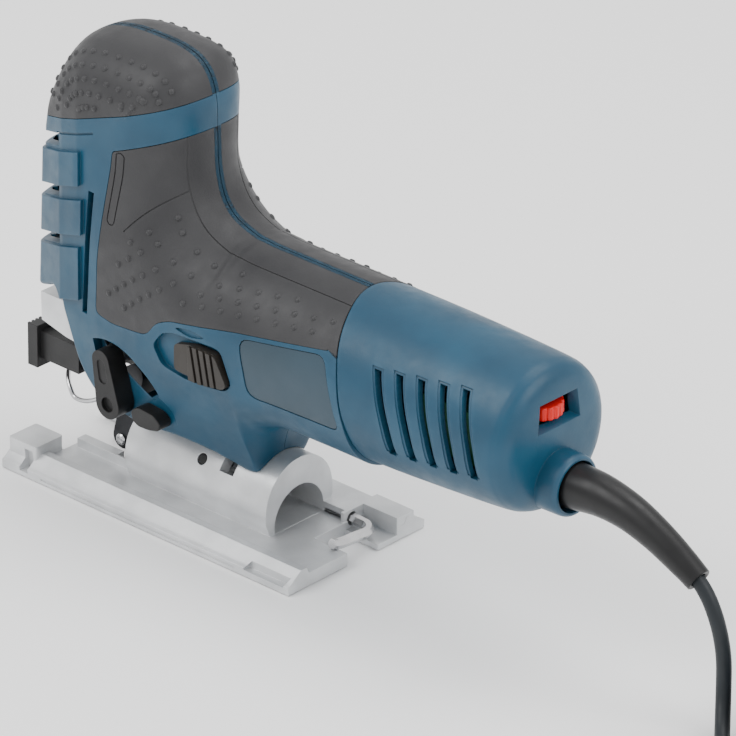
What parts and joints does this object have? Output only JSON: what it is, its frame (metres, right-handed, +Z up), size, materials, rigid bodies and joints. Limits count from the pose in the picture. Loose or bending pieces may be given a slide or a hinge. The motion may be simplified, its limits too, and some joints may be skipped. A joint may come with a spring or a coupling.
{
  "type": "jigsaw power tool",
  "caption": "Corded barrel-grip jigsaw with louvred head, bevelling cast base with half-round hub, orbit and blower levers, slide switch, speed dial and bend sleeve.",
  "frame": {"origin": "centre of the sole, the flat underside of the base plate", "axes": "+Z up from the sole, -X towards the blade end, +X towards the cord end, -Y is the side with the switch and levers"},
  "size_m": [0.4635, 0.1148, 0.1973],
  "materials": {
    "shell_plastic": "satin moulded, fine grain",
    "grip_rubber": "soft matt overmould with raised dots",
    "plate_film": "blank satin film",
    "gear_case_casting": "as cast, bead blasted",
    "base_casting": "as cast, light grey",
    "bronze": "plain",
    "hard_steel": "ground",
    "screw_steel": "zinc plated",
    "stator_iron": "laminated",
    "copper": "enamelled wire",
    "carbon": "pressed carbon",
    "black_plastic": "fine grain",
    "black_steel": "blackened",
    "board": "potted board",
    "dial_plastic": "ribbed",
    "sleeve_rubber": "satin",
    "cord_rubber": "satin"
  },
  "bodies": {
    "body": {"left_shell": "shell_plastic", "right_shell": "shell_plastic", "left_knob_grip": "grip_rubber", "right_knob_grip": "grip_rubber", "left_side_grip": "grip_rubber", "right_side_grip": "grip_rubber", "left_plate": "plate_film", "right_plate": "plate_film", "motor_cap": "shell_plastic", "gear_case": "gear_case_casting", "lower_bush": "bronze", "upper_bush": "bronze", "gear_pin": "hard_steel", "stator": "stator_iron", "front_bearing": "hard_steel", "rear_bearing": "hard_steel", "bearing_flange": "gear_case_casting", "brush_carrier": "black_plastic", "left_carbon_brush": "carbon", "right_carbon_brush": "carbon", "left_brush_holder": "bronze", "right_brush_holder": "bronze", "switch_box": "black_plastic", "electronics_block": "board", "housing_screw_1": "screw_steel", "housing_screw_2": "screw_steel", "housing_screw_3": "screw_steel", "housing_screw_4": "screw_steel", "clamp_bar": "hard_steel", "clamp_screw": "screw_steel", "wire_guard": "hard_steel", "bend_sleeve": "sleeve_rubber", "cord_lead": "cord_rubber", "cord_coil": "cord_rubber", "plug_body": "cord_rubber", "plug_pin_left": "hard_steel", "plug_pin_right": "hard_steel"},
    "saw_rod": {"plunger": "hard_steel", "blade_clamp": "hard_steel"},
    "release": {"release_lever": "black_plastic"},
    "drive_gear": {"gear_wheel": "hard_steel"},
    "armature": {"armature_shaft": "hard_steel", "lamination_stack": "copper", "commutator": "copper", "cooling_fan": "black_plastic"},
    "pendulum": {"pendulum_fork": "black_steel", "roller_pin": "hard_steel"},
    "roller": {"guide_roller": "hard_steel"},
    "orbit": {"orbit_lever": "black_plastic"},
    "blower": {"blower_lever": "black_plastic"},
    "switch": {"switch_slider": "black_plastic"},
    "dial": {"speed_dial": "dial_plastic"},
    "base": {"base_plate": "base_casting", "stop_pin": "black_plastic"},
    "key": {"hex_key": "hard_steel"}
  },
  "joints": [
    {"name": "base_bevel", "type": "hinge", "parent": "body", "child": "base", "pos_m": [0, 0, 0.016], "axis": [1, 0, 0], "range_deg": [-45, 45]},
    {"name": "key_slide", "type": "slide", "parent": "base", "child": "key", "axis": [1, 0, 0], "range_m": [0, 0.03]},
    {"name": "rod_stroke", "type": "slide", "parent": "body", "child": "saw_rod", "axis": [0, 0, 1], "range_m": [-0.026, 0]},
    {"name": "gear_spin", "type": "hinge", "parent": "body", "child": "drive_gear", "pos_m": [-0.038, 0, 0.11915], "axis": [1, 0, 0], "continuous": true},
    {"name": "armature_spin", "type": "hinge", "parent": "body", "child": "armature", "pos_m": [0, 0, 0.0905], "axis": [1, 0, 0], "continuous": true},
    {"name": "pendulum_swing", "type": "hinge", "parent": "body", "child": "pendulum", "pos_m": [-0.0365, 0, 0.045], "axis": [0, 1, 0], "range_deg": [-5, 0]},
    {"name": "roller_spin", "type": "hinge", "parent": "pendulum", "child": "roller", "pos_m": [-0.0442, 0, 0.013], "axis": [0, 1, 0], "continuous": true},
    {"name": "orbit_select", "type": "hinge", "parent": "body", "child": "orbit", "pos_m": [-0.0255, -0.03, 0.0455], "axis": [0, 1, 0], "range_deg": [0, 60]},
    {"name": "blower_select", "type": "hinge", "parent": "body", "child": "blower", "pos_m": [-0.008, -0.03, 0.045], "axis": [0, 1, 0], "range_deg": [0, 15]},
    {"name": "switch_travel", "type": "slide", "parent": "body", "child": "switch", "axis": [-1, 0, 0], "range_m": [0, 0.006]},
    {"name": "dial_turn", "type": "hinge", "parent": "body", "child": "dial", "pos_m": [0.1752, 0, 0.1044], "axis": [0, 0, 1], "range_deg": [-140, 140]},
    {"name": "clamp_release", "type": "hinge", "parent": "body", "child": "release", "pos_m": [-0.055, 0, 0.043], "axis": [0, 0, 1], "range_deg": [0, 55], "stiffness_Nm_per_rad": 0.15}
  ],
  "couplings": [
    {"joint": "gear_spin", "follows": "armature_spin", "ratio": -0.26667}
  ]
}
